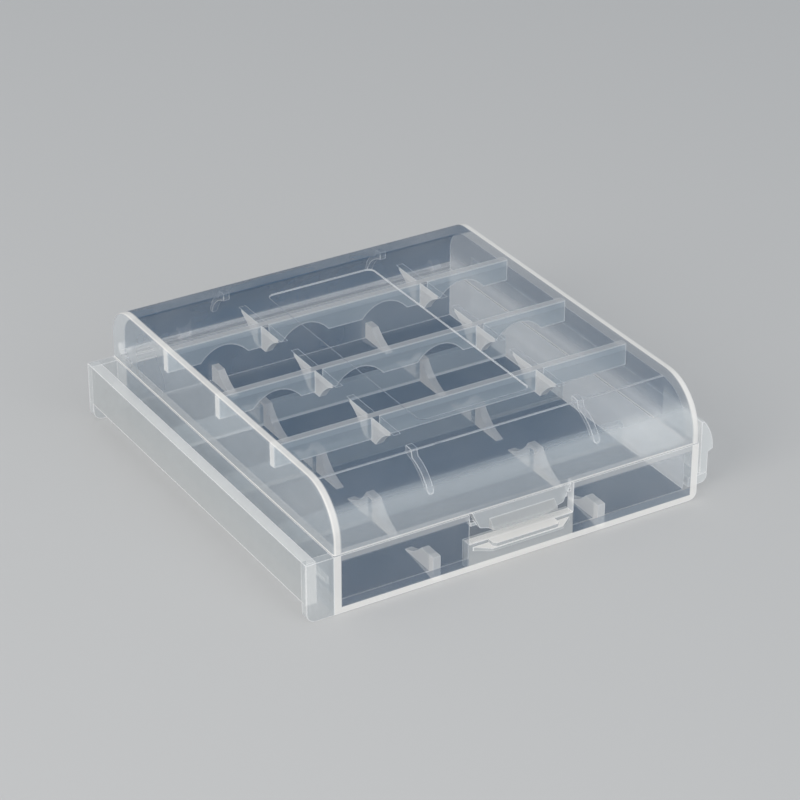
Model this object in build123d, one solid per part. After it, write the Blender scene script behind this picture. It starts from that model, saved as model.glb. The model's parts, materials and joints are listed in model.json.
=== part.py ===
from build123d import *
from math import sqrt
import os

# Hinged box for four cylindrical cells. Millimetres, +Z up, +X along the latch side, -Y at the latch.
# The origin is the centre of the tray's underside.

# Large cells lie along X, one to a lane, with the lanes side by side along Y
cell_diameter = 14.5
cell_length = 50.5
cell_play = 0.5
cell_end_play = 3.3
cell_head_room = 0.3

# Slim cells lie along Y, across the dividers, and end at the front one
slim_pitch = 12.8
slim_cradle_radius = 5.5
slim_cradles = (-1.5, -0.5, 0.5, 1.5)
cradle_rows = ("middle", "rear")

# Moulding thicknesses
wall = 1.3
floor = 1.2
ceiling = 1.2
rim_gap = 0.15

# Lid outline
front_radius = 7.0
rear_radius = 5.0
end_edge_radius = 0.4
crease_width = 0.25
crease_depth = 0.15
label_width = 17.0
label_margin = 4.5
label_depth = 0.2
label_corner_radius = 1.0

# Tray outline
base_corner_radius = 1.2

# Dividers and saddle fins
rib_thickness = 1.1
fin_thickness = 1.1
fin_toe = 0.15
tray_rib_height = 3.2
tray_fin_height = 3.7
tray_gusset_height = 2.5
lid_rib_depth = 2.4
lid_cradle_depth = 1.0
lid_fin_depth = 2.6
lid_fin_toe = 0.12
lid_end_fin_depth = 3.7
lid_end_fin_thickness = 0.95
lid_end_fin_round = 0.4
lid_saddle_extra = 0.5
lid_fin_bulge = 1.7

# Latch at the middle of the front
window_width = 16.1
sill_height = 4.1
latch_block_depth = 0.4
ledge_reach = 1.65
ledge_tip_inset = 2.65
ledge_root_inset = 0.55
ledge_height = 0.6
ledge_tip_height = 0.35
lip_reach = 1.45
lip_inset = 2.95
lip_height = 0.5
lip_chamfer = 0.4
tongue_thickness = 1.2
tongue_gap = 0.1
tongue_side_gap = 0.4
tongue_foot_gap = 1.0
tongue_side_inset = 1.2
tongue_corner_inset = 2.45
tongue_corner_rise = 0.7
tongue_shoulder = 0.35
pad_inset = 3.05
pad_depth = 1.0
pad_height = 1.4
pad_lip = 0.4
pad_round = 0.15
nub_width = 0.45
nub_height = 0.5
nub_clearance = 0.1
nub_level = 0.6

# Link rail on the left and link hook on the right
rail_wall = 1.6
rail_corner_radius = 1.3
bead_depth = 0.7
bead_height = 1.1
bead_level = 4.0
hook_thickness = 1.2
hook_barb = 0.8
hook_rise = 1.7
hook_end_gap = 0.7
hook_root_low = 0.8
hook_root_height = 1.4
hook_root_radius = 1.0
hook_flex_gap = 0.1

# Play between the hook of one box and the rail of the next
link_slit_play = 0.3
link_channel_play = 0.4
link_foot_play = 0.4
link_barb_play = 0.3

# Rear hinge
rod_radius = 0.45
rod_clearance = 0.08
rod_end_inset = 1.9
knuckle_wall = 0.4
knuckle_wall_gap = 0.35
clip_length = 31.4
clip_grip = 0.15
clip_mouth_angle = -45.0
clip_foot = 1.6
lug_thickness = 1.2
lug_side_gap = 0.25
lug_foot = 1.6
hinge_rise = 0.1

# Worked-out sizes
lane_pitch = cell_diameter + cell_play
saddle_radius = lane_pitch / 2
divider_rows = {"front": -lane_pitch, "middle": 0.0, "rear": lane_pitch}
fin_columns = {"left": -slim_pitch, "right": slim_pitch}
front_fin_radius = front_radius - ceiling + lid_fin_bulge
rear_fin_radius = rear_radius - ceiling + lid_fin_bulge
inner_width = cell_length + cell_end_play
inner_depth = (len(divider_rows) + 1) * lane_pitch
inner_height = cell_diameter + cell_head_room
case_width = inner_width + 2 * wall
case_depth = inner_depth + 2 * wall
case_height = floor + inner_height + ceiling
rim_level = case_height / 2
lid_level = rim_level + rim_gap
roof_level = case_height - ceiling
front_face = -case_depth / 2
rear_face = case_depth / 2
left_face = -case_width / 2
right_face = case_width / 2
front_inside = -inner_depth / 2
tongue_top = lid_level - tongue_gap
tongue_foot = sill_height + tongue_foot_gap
tongue_back = front_face + tongue_thickness
pad_low = tongue_foot + tongue_corner_rise
nub_low = pad_low + nub_level
window_nub_low = nub_low + nub_height + nub_clearance
bead_top = bead_level + bead_height
hook_length = case_depth - 2 * (wall + hook_end_gap)
hook_inside = right_face + rail_wall + link_slit_play
hook_outside = hook_inside + hook_thickness
hook_root_high = hook_root_low + hook_root_height
hook_barb_level = bead_top + link_barb_play
hook_top = rim_level + hook_rise
rail_inside = left_face - hook_thickness - hook_barb - link_channel_play
rail_outside = rail_inside - rail_wall
rail_foot = hook_root_high + link_foot_play
knuckle_radius = rod_radius + rod_clearance + knuckle_wall
hinge_y = rear_face + knuckle_radius + knuckle_wall_gap
hinge_z = rim_level + hinge_rise
inner_lug_x = clip_length / 2 + lug_side_gap + lug_thickness / 2
outer_lug_x = right_face - rod_end_inset - lug_thickness / 2


def block(x0, x1, y0, y1, z0, z1):
    """Box between two corners."""
    return Pos((x0 + x1) / 2, (y0 + y1) / 2, (z0 + z1) / 2) * Box(x1 - x0, y1 - y0, z1 - z0)


def area(u0, u1, v0, v1):
    """Flat rectangle between two corners."""
    return Pos((u0 + u1) / 2, (v0 + v1) / 2) * Rectangle(u1 - u0, v1 - v0)


def disc(u, v, radius):
    """Flat disc about a point."""
    return Pos(u, v) * Circle(radius)


def along_x(profile, x, thickness):
    """Plate of a (Y, Z) outline, centred on x."""
    return extrude(Plane.YZ.offset(x) * profile, amount=thickness / 2, both=True)


def along_y(profile, y, thickness):
    """Plate of an (X, Z) outline, centred on y."""
    return extrude(Plane.XZ.offset(-y) * profile, amount=thickness / 2, both=True)


def toe_length(radius, toe=fin_toe):
    """Distance from a saddle's lowest point to where it stands one toe high."""
    return sqrt(radius ** 2 - (radius - toe) ** 2)


def make_tray_shell():
    outline = area(left_face, right_face, 0, rim_level)
    low_right = outline.vertices().group_by(Axis.Y)[0].sort_by(Axis.X)[-1]
    outline = fillet(low_right, base_corner_radius)
    shell = along_y(outline, 0, case_depth)
    shell -= block(-inner_width / 2, inner_width / 2, front_inside, -front_inside, floor, case_height)
    shell -= block(-window_width / 2, window_width / 2, front_face - wall, front_inside,
                   sill_height, case_height)
    return shell + window_nub(-1) + window_nub(1)


def window_nub(side):
    """Small stop on the window's edge, above the tongue's own nub."""
    edge = window_width / 2
    x0, x1 = sorted((side * (edge - nub_width), side * edge))
    return block(x0, x1, front_face + wall / 2, front_inside, window_nub_low, window_nub_low + nub_height)


def make_tray_divider(y):
    divider = block(-inner_width / 2, inner_width / 2, y - rib_thickness / 2, y + rib_thickness / 2,
                    floor, floor + tray_rib_height)
    reach = saddle_radius - toe_length(saddle_radius)
    fin = area(y - reach, y + reach, floor, floor + tray_fin_height)
    fin -= disc(y - saddle_radius, floor + saddle_radius, saddle_radius)
    fin -= disc(y + saddle_radius, floor + saddle_radius, saddle_radius)
    for x in fin_columns.values():
        divider += along_x(fin, x, fin_thickness)
    return divider


def make_tray_gusset(x, end):
    """Half saddle between the floor and the front (end -1) or rear (end 1) wall."""
    reach = saddle_radius - toe_length(saddle_radius)
    y0, y1 = sorted((end * inner_depth / 2, end * (inner_depth / 2 - reach)))
    gusset = area(y0, y1, floor, floor + tray_gusset_height)
    gusset -= disc(end * (inner_depth / 2 - saddle_radius), floor + saddle_radius, saddle_radius)
    return along_x(gusset, x, fin_thickness)


def make_latch_block():
    return block(-window_width / 2, window_width / 2, front_inside, front_inside + latch_block_depth,
                 floor, sill_height)


def make_latch_ledge():
    """Bowed shelf under the tongue, thinner at its tip, with a straight lip on top."""
    tip = front_face - ledge_reach
    half_root = window_width / 2 - ledge_root_inset
    half_tip = window_width / 2 - ledge_tip_inset
    half_lip = window_width / 2 - lip_inset
    top = sill_height - lip_height
    low = top - ledge_height
    plan = make_face(Polyline(
        (-half_root, front_face), (-half_tip, tip), (half_tip, tip), (half_root, front_face), close=True))
    shelf = extrude(Plane.XY.offset(low) * plan, amount=ledge_height)
    underside = make_face(Polyline(
        (front_face, low), (tip, top - ledge_tip_height), (tip, low), close=True))
    shelf -= along_x(underside, 0, window_width)
    lip = block(-half_lip, half_lip, front_face - lip_reach, front_face, top, sill_height)
    lip = chamfer(lip.edges().filter_by(Axis.Z).group_by(Axis.Y)[0], lip_chamfer)
    return shelf + lip


def make_rail_wall():
    return block(rail_outside, rail_inside, front_face + wall, rear_face - wall, rail_foot, rim_level)


def make_rail_end(end):
    """End plate of the channel, flush with the front (end -1) or rear (end 1) face."""
    plate = area(rail_outside, left_face, 0, rim_level)
    low_left = plate.vertices().group_by(Axis.Y)[0].sort_by(Axis.X)[0]
    plate = fillet(low_left, rail_corner_radius)
    return along_y(plate, end * (case_depth - wall) / 2, wall)


def make_link_bead():
    """Ridge in the channel that a neighbour's hook snaps over."""
    crest = left_face - bead_depth
    section = make_face(Polyline(
        (left_face, bead_level), (crest, bead_level + bead_height / 2), (crest, bead_top),
        (left_face, bead_top), close=True))
    return along_y(section, 0, case_depth - 2 * wall)


def make_hook_root():
    root = area(right_face, hook_outside, hook_root_low, hook_root_high)
    low_right = root.vertices().group_by(Axis.Y)[0].sort_by(Axis.X)[-1]
    root = fillet(low_right, hook_root_radius)
    return along_y(root, 0, hook_length)


def make_link_hook():
    """Sprung upright with a barb that has a curved lead-in."""
    foot = hook_root_high + hook_flex_gap
    shank = area(hook_inside, hook_outside, foot, hook_barb_level)
    tip = hook_outside + hook_barb
    nose_x = hook_inside + hook_thickness / 3
    barb_face = hook_barb_level + hook_barb / 2
    head = make_face([
        Line((hook_inside, hook_barb_level), (hook_outside, hook_barb_level)),
        Line((hook_outside, hook_barb_level), (tip, barb_face)),
        TangentArc((tip, barb_face), (nose_x, hook_top), tangent=(0, 1)),
        Line((nose_x, hook_top), (hook_inside, hook_top)),
        Line((hook_inside, hook_top), (hook_inside, hook_barb_level))])
    return along_y(shank + head, 0, hook_length)


def make_hinge_clip():
    """Long open knuckle on the lid's rear wall, with its mouth down and to the rear."""
    clip = disc(hinge_y, hinge_z, knuckle_radius)
    clip += make_face(Polyline(
        (rear_face, lid_level), (hinge_y, lid_level), (hinge_y, hinge_z + knuckle_radius),
        (rear_face, lid_level + knuckle_radius + clip_foot), close=True))
    clip -= disc(hinge_y, hinge_z, rod_radius + rod_clearance)
    half_mouth = rod_radius - clip_grip / 2
    mouth = area(0, 2 * knuckle_radius, -half_mouth, half_mouth)
    clip -= Pos(hinge_y, hinge_z) * Rot(0, 0, clip_mouth_angle) * mouth
    return along_x(clip, 0, clip_length)


def make_hinge_lug(x):
    """Ear on the tray's rear wall that carries the hinge rod."""
    lug = disc(hinge_y, hinge_z, knuckle_radius)
    lug += make_face(Polyline(
        (rear_face, rim_level), (hinge_y, rim_level), (hinge_y, hinge_z - knuckle_radius),
        (rear_face, rim_level - knuckle_radius - lug_foot), close=True))
    return along_x(lug, x, lug_thickness)


def make_hinge_rod(lug_a, lug_b):
    """Stretch of the rod between the faces of two lugs."""
    length = lug_b - lug_a - lug_thickness
    return Pos((lug_a + lug_b) / 2, hinge_y, hinge_z) * Rot(0, 90, 0) * Cylinder(rod_radius, length)


def lid_profile(depth, low, high, front, rear):
    """End view of the lid, with a large round at the front and a smaller one at the rear."""
    profile = area(-depth / 2, depth / 2, low, high)
    profile = fillet(profile.vertices().group_by(Axis.Y)[-1].sort_by(Axis.X)[0], front)
    return fillet(profile.vertices().group_by(Axis.Y)[-1].sort_by(Axis.X)[-1], rear)


def lid_inside(low):
    return lid_profile(inner_depth, low, roof_level, front_radius - ceiling, rear_radius - ceiling)


def make_lid_shell():
    """Lid with a label recess outside and a fine crease inside, where the front round begins."""
    outline = lid_profile(case_depth, lid_level, case_height, front_radius, rear_radius)
    shell = along_x(outline, 0, case_width)
    ends = shell.edges().filter_by_position(Axis.X, left_face - wall / 2, left_face + wall / 2)
    ends += shell.edges().filter_by_position(Axis.X, right_face - wall / 2, right_face + wall / 2)
    shell = fillet([edge for edge in ends if edge.center().Z > lid_level + wall / 2], end_edge_radius)
    shell -= along_x(lid_inside(lid_level - wall), 0, inner_width)
    crease = front_face + front_radius
    shell -= block(-inner_width / 2, inner_width / 2, crease - crease_width / 2, crease + crease_width / 2,
                   roof_level, roof_level + crease_depth)
    label_front = crease + label_margin
    label_rear = rear_face - rear_radius - label_margin
    label = RectangleRounded(label_width, label_rear - label_front, label_corner_radius)
    label = Pos(0, (label_front + label_rear) / 2, case_height - label_depth) * label
    return shell - extrude(label, amount=2 * label_depth)


def make_lid_divider(y, cradles):
    divider = block(-inner_width / 2, inner_width / 2, y - rib_thickness / 2, y + rib_thickness / 2,
                    roof_level - lid_rib_depth, roof_level)
    cradle_level = roof_level - lid_cradle_depth - slim_cradle_radius
    for place in cradles:
        divider -= along_y(disc(place * slim_pitch, cradle_level, slim_cradle_radius), y, 2 * rib_thickness)
    radius = saddle_radius + lid_saddle_extra
    reach = saddle_radius - toe_length(radius, lid_fin_toe)
    fin = area(y - reach, y + reach, roof_level - lid_fin_depth, roof_level)
    fin -= disc(y - saddle_radius, roof_level - radius, radius)
    fin -= disc(y + saddle_radius, roof_level - radius, radius)
    for x in fin_columns.values():
        divider += along_x(fin, x, fin_thickness)
    return divider


def make_lid_end_fin(x, end, radius):
    """Crescent fin in the rounded corner at the lid's front (end -1) or rear (end 1)."""
    reach = radius - toe_length(radius)
    y0, y1 = sorted((end * inner_depth / 2, end * (inner_depth / 2 - reach)))
    corner = area(y0, y1, roof_level - lid_end_fin_depth, roof_level)
    crescent = corner & lid_inside(lid_level)
    crescent -= disc(end * (inner_depth / 2 - radius), roof_level - radius, radius)
    fin = along_x(crescent, x, lid_end_fin_thickness)
    foot = fin.faces().sort_by(Axis.Z)[0]
    return fillet(foot.edges().filter_by(Axis.Y), lid_end_fin_round)


def make_latch_tongue():
    """Plate that hangs from the lid's front edge in the tray's window, with a nub on each flank."""
    side_foot = pad_low + tongue_shoulder
    half_top = window_width / 2 - tongue_side_gap
    half_side = half_top - tongue_side_inset
    half_foot = half_side - tongue_corner_inset
    corner = (half_side + half_foot) / 2
    right = [(half_top, tongue_top), (half_side, side_foot), (corner, pad_low), (half_foot, tongue_foot)]
    left = [(-x, z) for x, z in reversed(right)]
    plate = make_face(Polyline(*right, *left, close=True))
    tongue = along_y(plate, front_face + tongue_thickness / 2, tongue_thickness)
    nub_reach = window_width / 2 - nub_width - nub_clearance
    return tongue + block(-nub_reach, nub_reach, tongue_back - tongue_thickness / 2, tongue_back,
                          nub_low, nub_low + nub_height)


def make_finger_pad():
    """Wedge on the tongue's outer face, thickest at its foot, that a fingertip lifts."""
    half = window_width / 2 - pad_inset
    outside = front_face - pad_depth
    section = make_face(Polyline(
        (front_face, pad_low), (outside, pad_low), (outside, pad_low + pad_lip),
        (front_face, pad_low + pad_height), close=True))
    pad = along_x(section, 0, 2 * half)
    outer = pad.faces().sort_by(Axis.Y)[0]
    return fillet(outer.edges(), pad_round)


def make_pieces():
    pieces = {"tray_shell": make_tray_shell()}
    for row, y in divider_rows.items():
        pieces[f"tray_divider_{row}"] = make_tray_divider(y)
        pieces[f"lid_divider_{row}"] = make_lid_divider(y, slim_cradles if row in cradle_rows else ())
    for end_name, end, fin_radius in (("front", -1, front_fin_radius), ("rear", 1, rear_fin_radius)):
        for column, x in fin_columns.items():
            pieces[f"tray_gusset_{end_name}_{column}"] = make_tray_gusset(x, end)
            pieces[f"lid_fin_{end_name}_{column}"] = make_lid_end_fin(x, end, fin_radius)
        pieces[f"link_rail_end_{end_name}"] = make_rail_end(end)
    pieces["link_rail_wall"] = make_rail_wall()
    pieces["link_bead"] = make_link_bead()
    pieces["link_hook_root"] = make_hook_root()
    pieces["link_hook"] = make_link_hook()
    pieces["latch_block"] = make_latch_block()
    pieces["latch_ledge"] = make_latch_ledge()
    pieces["latch_tongue"] = make_latch_tongue()
    pieces["finger_pad"] = make_finger_pad()
    pieces["lid_shell"] = make_lid_shell()
    pieces["hinge_clip"] = make_hinge_clip()
    pieces["hinge_rod_middle"] = make_hinge_rod(-inner_lug_x, inner_lug_x)
    pieces["hinge_rod_left"] = make_hinge_rod(-outer_lug_x, -inner_lug_x)
    pieces["hinge_rod_right"] = make_hinge_rod(inner_lug_x, outer_lug_x)
    for side_name, side in (("left", -1), ("right", 1)):
        pieces[f"hinge_lug_{side_name}_inner"] = make_hinge_lug(side * inner_lug_x)
        pieces[f"hinge_lug_{side_name}_outer"] = make_hinge_lug(side * outer_lug_x)
    return pieces


os.makedirs("parts", exist_ok=True)
for name, piece in make_pieces().items():
    export_step(piece, f"parts/{name}.step")
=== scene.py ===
import json
from math import hypot, radians

import bpy
from mathutils import Euler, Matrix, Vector

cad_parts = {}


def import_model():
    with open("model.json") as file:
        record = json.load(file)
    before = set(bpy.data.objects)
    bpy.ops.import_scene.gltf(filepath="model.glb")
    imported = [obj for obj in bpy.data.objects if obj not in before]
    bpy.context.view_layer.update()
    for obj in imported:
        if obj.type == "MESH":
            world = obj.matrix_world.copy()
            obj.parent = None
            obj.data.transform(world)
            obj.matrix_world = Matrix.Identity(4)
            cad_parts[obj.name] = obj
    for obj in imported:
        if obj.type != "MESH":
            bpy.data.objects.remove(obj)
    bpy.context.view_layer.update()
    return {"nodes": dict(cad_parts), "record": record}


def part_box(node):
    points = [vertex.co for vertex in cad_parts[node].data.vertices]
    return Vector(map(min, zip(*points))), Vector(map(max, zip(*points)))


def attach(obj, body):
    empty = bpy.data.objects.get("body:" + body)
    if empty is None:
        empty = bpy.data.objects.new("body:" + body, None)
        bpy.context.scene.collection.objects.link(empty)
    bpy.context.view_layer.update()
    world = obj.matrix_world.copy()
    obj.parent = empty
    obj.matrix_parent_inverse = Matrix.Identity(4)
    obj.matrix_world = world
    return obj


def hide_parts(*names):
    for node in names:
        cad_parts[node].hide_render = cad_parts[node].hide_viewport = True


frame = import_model()
MM = 0.001

# Camera: where the photograph was taken from, in degrees and millimetres
camera_elevation = 28.94
camera_turn = 30.91
camera_offset = Vector((0.21, 7.35, 421.4))
camera_lens = 136.5

# Floor and sky, with the floor's width in metres and its drop below the box in millimetres
floor_width = 4.0
floor_drop = 0.1
floor_colour = (0.56, 0.56, 0.56, 1.0)
floor_roughness = 0.8
sky_colour = (0.86, 0.93, 1.0, 1.0)
sky_strength = 0.45

# Lowest and highest corners of the pieces that the finish follows, in metres
tray_low, tray_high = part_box("tray_shell")
lid_low, lid_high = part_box("lid_shell")
rib_low, rib_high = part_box("lid_divider_middle")
_, next_rib_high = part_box("lid_divider_rear")
gusset_low, gusset_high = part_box("tray_gusset_rear_right")
block_low, block_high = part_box("latch_block")

# Moulding sizes that the finish follows, in millimetres
wall = (tray_high.y - gusset_high.y) / MM
floor_thickness = (gusset_low.z - tray_low.z) / MM
ceiling = (lid_high.z - rib_high.z) / MM
lane_pitch = (next_rib_high.y - rib_high.y) / MM
fin_column = (gusset_high.x + gusset_low.x) / 2 / MM
fin_half = (gusset_high.x - gusset_low.x) / 2 / MM
rib_half = 0.55
lid_front_radius = 7.0
lid_rear_radius = 5.0
label_half = 8.5

# A member's root stops this far below its wall's outside, and a point this near to a wall lies on it
skin = 0.25 * MM
touch = 0.02 * MM

# Fades at the edge of a stretch of finish, from and to, in millimetres in from the shells' outsides
tray_end_fade = (1.0, 1.2)
tray_rim_fade = (0.4, 0.6)
under_rim_fade = (0.7, 1.1)
tray_outside_fade = (0.2, 0.5)
rear_wall_fade = (wall + 0.02, wall + 0.1)
lid_end_fade = (0.9, 1.25)
lid_rim_fade = (0.15, 0.30)
lid_front_fade = (lid_front_radius - 0.4, lid_front_radius)
lid_rear_fade = (lid_rear_radius + 1.3, lid_rear_radius + 2.0)

# Fades about the latch's seat, the hinge, the label's left edge, fins, ribs and fin toes, in millimetres
seat_fade = (0.0, 0.1)
hinge_fade = (1.2, 1.5)
label_fade = (0.5, 0.8)
fin_fade = (fin_half, fin_half + 0.1)
rib_fade = (rib_half, rib_half + 0.05)
toe_fade = 0.6

# Fades at levels above the box's underside, in millimetres
foot_top = (0.8, 1.0)
floor_top = (floor_thickness + 0.4, floor_thickness + 0.6)
floor_edge_top = (floor_thickness + 0.75, floor_thickness + 0.9)
rib_foot_top = (floor_thickness + 0.3, floor_thickness + 0.6)
sill_low = (2.5, 3.0)
sill_high = (5.0, 5.5)
# The painted light on the inside of the lid's right wall fades out up to this level
right_inside_lit_top = (9.5, 13.0)
front_haze_top = (13.6, 15.4)

# Fades from left to right and from front to rear, in millimetres from the middle
right_half = (-1.0, 1.0)
right_of_latch = (8.0, 12.0)
# The painted light on the inside of the lid's right wall fades in from the front across this
right_inside_lit_front = (-27.0, -23.0)
# Across this the tray's floor darkens towards the rear, as painted shade
shaded_rear_half = (-8.0, 8.0)
rear_row = (lane_pitch / 2, lane_pitch / 2 + 1.0)

# Fades of a face as it turns to look along an axis, as the share of its normal that lies along it
facing = (0.5, 0.9)
facing_squarely = (0.8, 0.95)
facing_slightly = (0.1, 0.5)

# How much each stretch hides of what is behind it, from 0 to 1
thin_film = 0.36
hinge_film = 0.08
# The tray's floor hides the first at the front and the second at the rear, darker there as painted shade
front_floor_film = 0.52
shaded_rear_floor_film = 0.66
floor_edge_film = 0.66
rear_wall_film = 0.74
seat_film = 0.50
# Faces of the tray that look left, towards the key lamp, hide this much, as painted light
lit_side_wall_film = 0.50
lid_rear_film = 0.72
# On the lid, the outside of the left wall and the front hide the first, and the inside of the right wall
# the second; on the walls, which look left towards the key lamp, this is painted light
lit_left_and_front_haze_film = 0.42
right_inside_lit_film = 0.46
root_film = 0.06
rail_film = 0.80
tray_white = 0.86
lid_white = 0.80
root_white = 0.50
rail_white = 0.80
edge_white = 0.92
root_edge_white = 0.86

# How strongly some stretches show
tray_rim_share = 0.6
under_rim_share = 0.5
right_of_latch_share = 0.35
lid_rim_share = 0.8
label_edge_loss = 0.3

# Edges: how far in they whiten, in millimetres, and how fast
edge_radius = 0.28
rib_edge_radius = 0.36
root_edge_radius = 0.25
usual_gain = 3.4
root_gain = 6.0
rail_gain = 6.0
edge_samples = 6

# Colours of the plastic, of which haze is the paler and the next the darker one of its walls. Both serve as
# painted light on faces that look left, towards the key lamp, and as milky haze elsewhere
thin_colour = (0.07, 0.13, 0.21, 1.0)
rib_colour = (0.64, 0.71, 0.75, 1.0)
pale_haze_and_lit_colour = (0.86, 0.88, 0.90, 1.0)
grey_haze_and_lit_colour = (0.50, 0.55, 0.59, 1.0)
latch_colour = (0.64, 0.66, 0.67, 1.0)
seat_colour = (0.50, 0.52, 0.53, 1.0)
pad_colour = (0.50, 0.51, 0.51, 1.0)
rail_colour = (0.43, 0.45, 0.46, 1.0)
rail_top_colour = (0.76, 0.77, 0.77, 1.0)
rail_end_colour = (0.54, 0.57, 0.59, 1.0)
link_colour = (0.80, 0.82, 0.82, 1.0)
hinge_colour = (0.88, 0.89, 0.90, 1.0)
thick_colour = (0.92, 0.90, 0.87, 1.0)
edge_colour = (1.0, 1.0, 1.0, 1.0)

# Milky plastic scatters light onwards, so it hides more from the eye than it takes from the light
light_passed = 0.8
glow_share = 0.2
gloss_share = 0.35
plastic_ior = 1.45

# Uneven milkiness and fine grain in the gloss, with noise scales per metre
cloud_scale = 70.0
cloud_detail = 4.0
cloud_least = 0.7
cloud_swing = 0.6
grain_scale = 900.0
grain_detail = 2.0
roughness_least = 0.14
roughness_swing = 0.12

# See-through layers that one line of sight may cross
clear_layers = 96


def beyond(face, fade):
    """Moves a fade so that it runs up from a face, in millimetres."""
    return [face / MM + distance for distance in fade]


def before(face, fade):
    """Moves a fade so that it runs down from a face, in millimetres."""
    return [face / MM - distance for distance in reversed(fade)]


class Finish:
    """Short forms for building one material's nodes."""

    def __init__(self, name):
        self.material = bpy.data.materials.new(name)
        self.material.use_nodes = True
        self.tree = self.material.node_tree
        self.tree.nodes.clear()
        point = self.node("ShaderNodeTexCoord")
        self.place = point.outputs["Object"]
        normal = point.outputs["Normal"]
        self.x, self.y, self.z = self.node("ShaderNodeSeparateXYZ", Vector=self.place).outputs
        self.nx, self.ny, self.nz = self.node("ShaderNodeSeparateXYZ", Vector=normal).outputs

    def join(self, socket, value):
        if isinstance(value, bpy.types.NodeSocket):
            self.tree.links.new(value, socket)
        else:
            socket.default_value = value

    def node(self, kind, **inputs):
        made = self.tree.nodes.new(kind)
        for name, value in inputs.items():
            self.join(made.inputs[name], value)
        return made

    def maths(self, operation, *values):
        made = self.tree.nodes.new("ShaderNodeMath")
        made.operation = operation
        for socket, value in zip(made.inputs, values):
            self.join(socket, value)
        return made.outputs[0]

    def times(self, first, *others):
        for other in others:
            first = self.maths("MULTIPLY", first, other)
        return first

    def most(self, first, *others):
        for other in others:
            first = self.maths("MAXIMUM", first, other)
        return first

    def size(self, value):
        return self.maths("ABSOLUTE", value)

    def less(self, value):
        return self.maths("SUBTRACT", 1.0, value)

    def rise(self, value, low, high):
        """0 below low, 1 above high and smooth between."""
        made = self.node("ShaderNodeMapRange", Value=value)
        made.interpolation_type = "SMOOTHSTEP"
        made.inputs["From Min"].default_value = low
        made.inputs["From Max"].default_value = high
        return made.outputs[0]

    def over(self, value, fade):
        """From 0 to 1 across a fade in millimetres."""
        low, high = fade
        return self.rise(value, low * MM, high * MM)

    def under(self, value, fade):
        """From 1 to 0 across a fade in millimetres."""
        return self.less(self.over(value, fade))

    def towards(self, share, turn=facing):
        """1 on faces that look along an axis, from the share of their normal along it."""
        low, high = turn
        return self.rise(share, low, high)

    def against(self, share, turn=facing):
        """1 on faces that look the other way along an axis."""
        low, high = turn
        return self.less(self.rise(share, -high, -low))

    def blend(self, share, a, b, kind="FLOAT"):
        """Mixes two numbers, or two colours where kind is RGBA."""
        made = self.tree.nodes.new("ShaderNodeMix")
        made.data_type = kind
        for socket, value in zip([s for s in made.inputs if s.enabled], (share, a, b)):
            self.join(socket, value)
        return next(s for s in made.outputs if s.enabled)

    def tint(self, share, a, b):
        """Mixes two colours."""
        return self.blend(share, a, b, "RGBA")

    def mix(self, share, a, b):
        """Mixes two shaders."""
        made = self.tree.nodes.new("ShaderNodeMixShader")
        for socket, value in zip(made.inputs, (share, a, b)):
            self.join(socket, value)
        return made.outputs[0]

    def off_row(self):
        """Distance across the lanes from the nearest row of ribs."""
        half_lane = lane_pitch * MM / 2
        return self.size(self.maths("WRAP", self.y, half_lane, -half_lane))

    def at_hinge(self):
        """1 on the rear walls along the parting line, where the hinge behind them shows through."""
        off_parting = self.size(self.maths("SUBTRACT", self.z, lid_low.z))
        rear_wall = self.over(self.y, before(tray_high.y, rear_wall_fade))
        return self.times(self.under(off_parting, hinge_fade), rear_wall)

    def edges(self, radius, gain):
        """From 0 on flat stretches to 1 on edges, where light gathers in the moulding."""
        bevel = self.node("ShaderNodeBevel", Radius=radius * MM)
        bevel.samples = edge_samples
        dot = self.tree.nodes.new("ShaderNodeVectorMath")
        dot.operation = "DOT_PRODUCT"
        self.join(dot.inputs[0], bevel.outputs[0])
        self.join(dot.inputs[1], self.node("ShaderNodeNewGeometry").outputs["Normal"])
        turned = self.times(self.less(dot.outputs["Value"]), gain)
        return self.maths("MINIMUM", turned, 1.0)

    def noise(self, scale, detail, least, swing):
        """Soft cloud of numbers, from least upwards."""
        cloud = self.node("ShaderNodeTexNoise", Vector=self.place, Scale=scale, Detail=detail)
        return self.maths("ADD", self.times(cloud.outputs["Fac"], swing), least)

    def plastic(self, film, film_colour, thick, thick_hide, edge, edge_hide=edge_white):
        """Milky see-through plastic. film, thick_hide and edge_hide say how much each stretch hides."""
        uneven = self.noise(cloud_scale, cloud_detail, cloud_least, cloud_swing)
        hide = self.blend(thick, self.times(uneven, film), thick_hide)
        hide = self.blend(edge, hide, edge_hide)
        colour = self.tint(thick, film_colour, thick_colour)
        colour = self.tint(edge, colour, edge_colour)
        outside = self.less(self.node("ShaderNodeNewGeometry").outputs["Backfacing"])
        lit = self.node("ShaderNodeBsdfDiffuse", Color=colour).outputs[0]
        glow = self.node("ShaderNodeBsdfTranslucent", Color=colour).outputs[0]
        milk = self.mix(glow_share, lit, glow)
        clear = self.node("ShaderNodeBsdfTransparent").outputs[0]
        shading = self.node("ShaderNodeLightPath").outputs["Is Shadow Ray"]
        stopped = self.less(self.times(shading, light_passed))
        body = self.mix(self.times(hide, outside, stopped), clear, milk)
        rough = self.noise(grain_scale, grain_detail, roughness_least, roughness_swing)
        fresnel = self.node("ShaderNodeFresnel", IOR=plastic_ior).outputs[0]
        shine = self.times(fresnel, outside, gloss_share)
        gloss = self.node("ShaderNodeBsdfGlossy", Roughness=rough).outputs[0]
        out = self.node("ShaderNodeOutputMaterial", Surface=self.mix(shine, body, gloss))
        out.target = "ALL"
        return self.material


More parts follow.
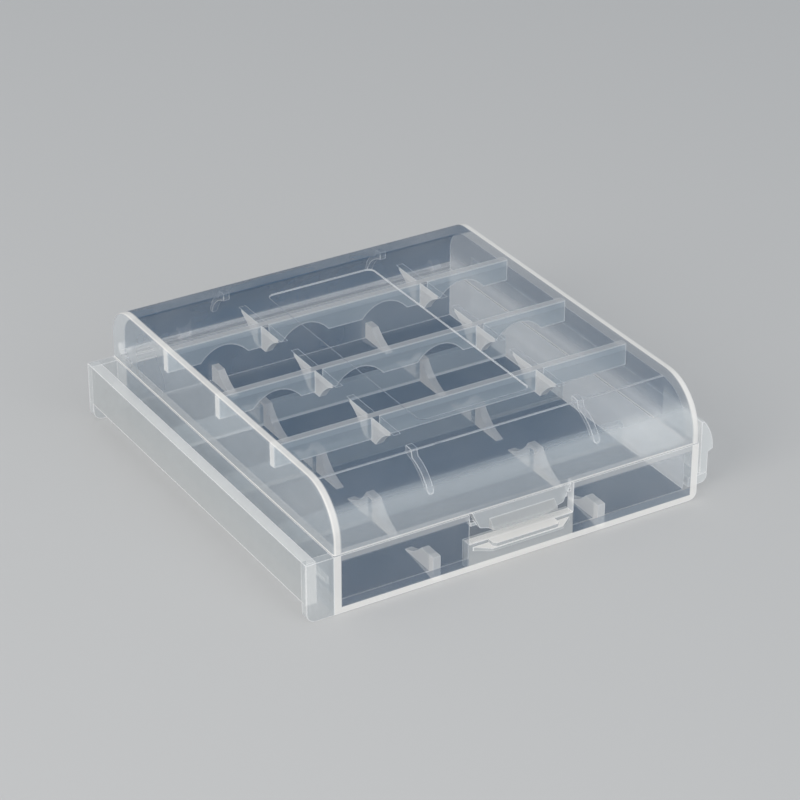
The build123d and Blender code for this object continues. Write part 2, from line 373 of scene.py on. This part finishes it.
def tray_thick(finish):
    """The tray's white stretches: wall ends, foot, sill and rim."""
    level = finish.towards(finish.size(finish.nz))
    front_or_rear = finish.towards(finish.size(finish.ny))
    wall_end = finish.over(finish.size(finish.x), before(tray_high.x, tray_end_fade))
    wall_end = finish.times(wall_end, front_or_rear)
    not_left = finish.less(finish.against(finish.nx))
    foot = finish.times(finish.less(level), not_left, finish.under(finish.z, foot_top))
    sill = finish.times(finish.over(finish.z, sill_low), finish.under(finish.z, sill_high))
    rim = finish.times(finish.over(finish.z, before(tray_high.z, tray_rim_fade)), tray_rim_share)
    under_rim = finish.over(finish.z, before(tray_high.z, under_rim_fade))
    under_rim = finish.times(under_rim, front_or_rear, under_rim_share)
    return finish.most(wall_end, foot, under_rim, finish.times(level, finish.most(sill, rim)))


def tray_film(finish, seat):
    """How much the rest of the tray hides: most at its rear wall, more towards the rear of the floor as
    painted shade, more on faces that look left as painted light, and almost nothing at the hinge.
    """
    level = finish.towards(finish.size(finish.nz))
    # Painted shade: the floor hides more and looks darker towards the rear
    shaded_floor_film = finish.blend(finish.over(finish.y, shaded_rear_half), front_floor_film, shaded_rear_floor_film)
    film = finish.blend(finish.times(level, finish.under(finish.z, floor_top)), thin_film, shaded_floor_film)
    outside = finish.over(finish.size(finish.y), before(tray_high.y, tray_outside_fade))
    floor_edge = finish.times(finish.less(level), outside, finish.under(finish.z, floor_edge_top))
    film = finish.blend(floor_edge, film, floor_edge_film)
    rear_wall = finish.over(finish.y, before(tray_high.y, rear_wall_fade))
    rear_inside = finish.times(rear_wall, finish.against(finish.ny))
    film = finish.blend(rear_inside, film, rear_wall_film)
    film = finish.blend(finish.at_hinge(), film, hinge_film)
    film = finish.blend(seat, film, seat_film)
    # Painted light: faces that look left, towards the key lamp, hide more
    return finish.blend(finish.against(finish.nx), film, lit_side_wall_film)


def tray_colour(finish, seat):
    """Dark film, paler to the right of the latch, a grey seat, and painted light on faces that look left,
    towards the key lamp, paler and milkier there.
    """
    pale = finish.times(finish.over(finish.x, right_of_latch), finish.against(finish.ny))
    pale = finish.times(pale, right_of_latch_share)
    colour = finish.tint(pale, thin_colour, grey_haze_and_lit_colour)
    colour = finish.tint(seat, colour, seat_colour)
    # Painted light on faces that look left, towards the key lamp: grey on the left wall, paler on the right
    # one
    lit_wall_colour = finish.tint(finish.over(finish.x, right_half), grey_haze_and_lit_colour, pale_haze_and_lit_colour)
    return finish.tint(finish.against(finish.nx), colour, lit_wall_colour)


def tray_finish(name):
    """Film with white stretches, and a seat where the front wall covers the latch block."""
    finish = Finish(name)
    seat = finish.under(finish.size(finish.x), beyond(block_high.x, seat_fade))
    seat = finish.times(seat, finish.under(finish.y, beyond(block_low.y, seat_fade)))
    film = tray_film(finish, seat)
    colour = tray_colour(finish, seat)
    edge = finish.edges(edge_radius, usual_gain)
    return finish.plastic(film, colour, tray_thick(finish), tray_white, edge)


def lid_thick(finish):
    """The lid's white stretches: its rim, and each end wall where it is seen along its thickness."""
    end_wall = finish.over(finish.size(finish.x), before(lid_high.x, lid_end_fade))
    not_side = finish.less(finish.towards(finish.size(finish.nx)))
    not_under = finish.less(finish.against(finish.nz, facing_slightly))
    rim = finish.times(finish.under(finish.z, beyond(lid_low.z, lid_rim_fade)), lid_rim_share)
    return finish.most(finish.times(end_wall, not_side, not_under), rim)


def lid_edge(finish):
    """The lid's edges, of which the label's left one is fainter."""
    off_label = finish.size(finish.maths("ADD", finish.x, label_half * MM))
    label_left = finish.times(finish.under(off_label, label_fade), finish.towards(finish.nz))
    kept = finish.less(finish.times(label_left, label_edge_loss))
    return finish.times(finish.edges(edge_radius, usual_gain), kept)


def lid_finish(name):
    """Film with white stretches, milkier along the rear and at the front, with painted light on the left
    wall's outside and the right wall's inside, which look left, towards the key lamp.
    """
    finish = Finish(name)
    rear = finish.over(finish.y, before(lid_high.y, lid_rear_fade))
    not_rear_or_side = finish.less(finish.towards(finish.most(finish.ny, finish.size(finish.nx))))
    film = finish.blend(finish.times(rear, not_rear_or_side), thin_film, lid_rear_film)
    film = finish.blend(finish.at_hinge(), film, hinge_film)
    # Painted light: faces that look left, towards the key lamp, turn milkier and paler, grey on the left
    # wall and paler on the right one
    looks_left = finish.against(finish.nx)
    lit_left_outside = finish.times(looks_left, finish.under(finish.x, right_half))
    front = finish.under(finish.y, beyond(lid_low.y, lid_front_fade))
    lit_left_and_milky_front = finish.most(lit_left_outside, finish.times(front, finish.under(finish.z, front_haze_top)))
    lit_right_inside = finish.times(looks_left, finish.over(finish.x, right_half))
    lit_right_inside = finish.times(lit_right_inside, finish.under(finish.z, right_inside_lit_top))
    lit_right_inside = finish.times(lit_right_inside, finish.over(finish.y, right_inside_lit_front))
    film = finish.blend(lit_left_and_milky_front, film, lit_left_and_front_haze_film)
    film = finish.blend(lit_right_inside, film, right_inside_lit_film)
    colour = finish.tint(lit_left_and_milky_front, thin_colour, grey_haze_and_lit_colour)
    colour = finish.tint(lit_right_inside, colour, pale_haze_and_lit_colour)
    return finish.plastic(film, colour, lid_thick(finish), lid_white, lid_edge(finish))


def rib_finish(name, front_film, rear_film, fins_and_lit_faces_white, fin_edge, rib_edge, edge_gain, foot_line, reach):
    """Milky plate with whiter saddle fins, and painted light that whitens its faces that look left, towards
    the key lamp, its left end among them.

    The rear row has a film of its own, and a line along its foot as strong as foot_line says.
    Past reach, in millimetres from the row, the thin toes of the fins clear away.
    """
    finish = Finish(name)
    off_fin = finish.size(finish.maths("SUBTRACT", finish.size(finish.x), fin_column * MM))
    fin = finish.under(off_fin, fin_fade)
    rear = finish.over(finish.y, rear_row)
    near = finish.under(finish.off_row(), (reach - toe_fade, reach))
    film = finish.times(near, finish.blend(rear, front_film, rear_film))
    strength = finish.blend(fin, rib_edge, fin_edge)
    edge = finish.times(finish.edges(rib_edge_radius, edge_gain), strength, near)
    foot = finish.times(finish.under(finish.z, rib_foot_top), rear, finish.less(fin), foot_line)
    # Painted light: faces that look left, towards the key lamp, whiten like the fins
    white = finish.times(finish.most(fin, finish.against(finish.nx)), near)
    return finish.plastic(film, rib_colour, white, fins_and_lit_faces_white, finish.most(edge, foot))


def root_finish(name):
    """Where a member runs into the wall that carries it: white behind a rib, almost clear behind a fin."""
    finish = Finish(name)
    under_rib = finish.under(finish.off_row(), rib_fade)
    edge = finish.edges(root_edge_radius, root_gain)
    return finish.plastic(root_film, rib_colour, under_rib, root_white, edge, root_edge_white)


def rail_finish(name):
    """Hazy wall with a lighter top, and white ends where it runs into the end plates."""
    finish = Finish(name)
    colour = finish.tint(finish.towards(finish.nz), rail_colour, rail_top_colour)
    ends = finish.towards(finish.size(finish.ny))
    return finish.plastic(rail_film, colour, ends, rail_white, finish.edges(edge_radius, rail_gain))


def block_finish(name, film, colour, top_hide=None, edge_gain=usual_gain):
    """Solid lump. top_hide is for level faces where they hide more or less than the rest."""
    finish = Finish(name)
    top = 0.0 if top_hide is None else finish.towards(finish.nz, facing_squarely)
    return finish.plastic(film, colour, top, top_hide or film, finish.edges(edge_radius, edge_gain))


root = root_finish("milky_root")

# Finishes by how a node's name starts, with the longer of two like starts first
finishes = {
    "tray_shell": tray_finish("milky_tray"),
    "lid_shell": lid_finish("milky_lid"),
    "tray_divider": rib_finish(
        "milky_tray_rib", front_film=0.28, rear_film=0.42, fins_and_lit_faces_white=0.46, fin_edge=0.12, rib_edge=0.15,
        edge_gain=usual_gain, foot_line=0.55, reach=9.0),
    "lid_divider": rib_finish(
        "milky_lid_rib", front_film=0.55, rear_film=0.55, fins_and_lit_faces_white=0.76, fin_edge=0.8, rib_edge=1.0,
        edge_gain=8.0, foot_line=0.0, reach=5.6),
    "tray_gusset": block_finish("milky_gusset", film=0.80, colour=thick_colour),
    "lid_fin": block_finish("milky_lid_fin", film=0.14, colour=pale_haze_and_lit_colour, edge_gain=8.0),
    "latch_block": block_finish("milky_latch_block", film=0.74, colour=seat_colour),
    "latch_ledge": block_finish("milky_ledge", film=0.66, colour=seat_colour, top_hide=0.84, edge_gain=1.4),
    "latch_tongue": block_finish("milky_latch", film=0.62, colour=latch_colour, top_hide=0.05),
    "finger_pad": block_finish("milky_pad", film=0.62, colour=pad_colour, edge_gain=1.0),
    "link_rail_wall": rail_finish("milky_rail"),
    "link_rail_end": block_finish("milky_rail_end", film=0.56, colour=rail_end_colour),
    "link_": block_finish("milky_link", film=0.66, colour=link_colour, edge_gain=5.0),
    "hinge_": block_finish("milky_hinge", film=0.72, colour=hinge_colour, edge_gain=1.0),
}


def finish_of(name):
    return next(finishes[start] for start in finishes if name.startswith(start))


for name, piece in frame["nodes"].items():
    piece.data.materials.clear()
    piece.data.materials.append(finish_of(name))


def rooted(name, sink, touches=None):
    """Member whose root runs on into the wall that carries it, as it does in one moulding.

    sink says where each point goes, and touches which points lie on the wall. Faces that have only such
    points get the root finish.
    """
    mesh = frame["nodes"][name].data.copy()
    piece = bpy.data.objects.new(name + "_rooted", mesh)
    bpy.context.scene.collection.objects.link(piece)
    if touches:
        mesh.materials.append(root)
        for face in mesh.polygons:
            face.material_index = int(all(touches(mesh.vertices[corner].co) for corner in face.vertices))
    for vertex in mesh.vertices:
        vertex.co = sink(vertex.co)
    bodies = frame["record"]["behaviour"]["bodies"]
    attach(piece, next(body for body, nodes in bodies.items() if name in nodes))
    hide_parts(name)


def on_roof(point):
    return point[2] > rib_high.z - touch


def sink_lid_rib(point):
    """Draws a rib up towards the roof's outside, and its left end out towards the left wall's."""
    x, y, z = point
    z = rib_low.z + (z - rib_low.z) * (lid_high.z - skin - rib_low.z) / (rib_high.z - rib_low.z)
    if x < rib_low.x + touch:
        x = lid_low.x + skin
    return x, y, z


def corner_place(point):
    """Which of the lid's two rounds a point is at, its radius, and how far out and up from its centre."""
    end = -1 if point[1] < 0 else 1
    radius = (lid_front_radius if end < 0 else lid_rear_radius) * MM
    return end, radius, end * point[1] - (lid_high.y - radius), point[2] - (lid_high.z - radius)


def on_round(point):
    _, radius, across, up = corner_place(point)
    inside = radius - ceiling * MM - touch
    if across > 0 and up > 0:
        return hypot(across, up) > inside
    return max(across, up) > inside


def sink_lid_fin(point):
    """Pushes the back of a corner fin outwards, square to the lid's rounded inside."""
    x, y, z = point
    if not on_round(point):
        return x, y, z
    end, radius, across, up = corner_place(point)
    if across > 0 and up > 0:
        grow = (radius - skin) / hypot(across, up)
        return x, end * (lid_high.y - radius + across * grow), lid_high.z - radius + up * grow
    if up > across:
        return x, y, lid_high.z - skin
    return x, end * (lid_high.y - skin), z


def sink_gusset(point):
    """Pushes the back of a gusset into the tray's front or rear wall, and its foot there into the floor."""
    x, y, z = point
    if abs(y) > tray_high.y - wall * MM - touch:
        y = (tray_high.y - skin) * (1 if y > 0 else -1)
        if z < floor_thickness * MM + touch:
            z = skin
    return x, y, z


def sink_latch_block(point):
    """Pushes the block's front into the tray's front wall, and its foot into the floor."""
    x, y, z = point
    if y < tray_low.y + wall * MM + touch:
        y = tray_low.y + skin
    if z < floor_thickness * MM + touch:
        z = skin
    return x, y, z


def sink_rail_wall(point):
    """Draws the rail's wall out at both ends, into its end plates."""
    x, y, z = point
    return x, (tray_high.y - skin) * (1 if y > 0 else -1), z


for row in ("front", "middle", "rear"):
    rooted(f"lid_divider_{row}", sink_lid_rib, on_roof)
for end_name in ("front", "rear"):
    for side in ("left", "right"):
        rooted(f"lid_fin_{end_name}_{side}", sink_lid_fin, on_round)
        rooted(f"tray_gusset_{end_name}_{side}", sink_gusset)
rooted("latch_block", sink_latch_block)
rooted("link_rail_wall", sink_rail_wall)


def lay_floor():
    bpy.ops.mesh.primitive_plane_add(size=floor_width, location=(0, 0, -floor_drop * MM))
    floor = bpy.context.object
    floor.name = "floor"
    paint = bpy.data.materials.new("pale_floor")
    paint.use_nodes = True
    shader = paint.node_tree.nodes["Principled BSDF"]
    shader.inputs["Base Color"].default_value = floor_colour
    shader.inputs["Roughness"].default_value = floor_roughness
    floor.data.materials.append(paint)


def light_sky():
    world = bpy.data.worlds.new("studio")
    world.use_nodes = True
    sky = world.node_tree.nodes["Background"]
    sky.inputs["Color"].default_value = sky_colour
    sky.inputs["Strength"].default_value = sky_strength
    bpy.context.scene.world = world


def softbox(name, place, size, power, colour):
    """Square light that looks at the box, with its place and size in metres and its power in watts."""
    light = bpy.data.lights.new(name, "AREA")
    light.size = size
    light.energy = power
    light.color = colour
    lamp = bpy.data.objects.new(name, light)
    bpy.context.scene.collection.objects.link(lamp)
    lamp.location = place
    lamp.rotation_euler = (-Vector(place)).to_track_quat("-Z", "Y").to_euler()


def place_camera():
    camera = bpy.data.objects.new("camera", bpy.data.cameras.new("camera"))
    bpy.context.scene.collection.objects.link(camera)
    turn = Euler((radians(90 - camera_elevation), 0, radians(-camera_turn)))
    camera.rotation_euler = turn
    camera.location = turn.to_matrix() @ camera_offset * MM
    camera.data.lens = camera_lens
    bpy.context.scene.camera = camera


lay_floor()
light_sky()
softbox("key", place=(-1.0, -0.30, 0.55), size=0.6, power=12.0, colour=(1.0, 0.96, 0.91))
softbox("fill", place=(0.25, -1.1, 0.45), size=0.8, power=5.5, colour=(0.96, 0.98, 1.0))
place_camera()
bpy.context.scene.cycles.transparent_max_bounces = clear_layers
bpy.context.scene.view_settings.view_transform = "Standard"
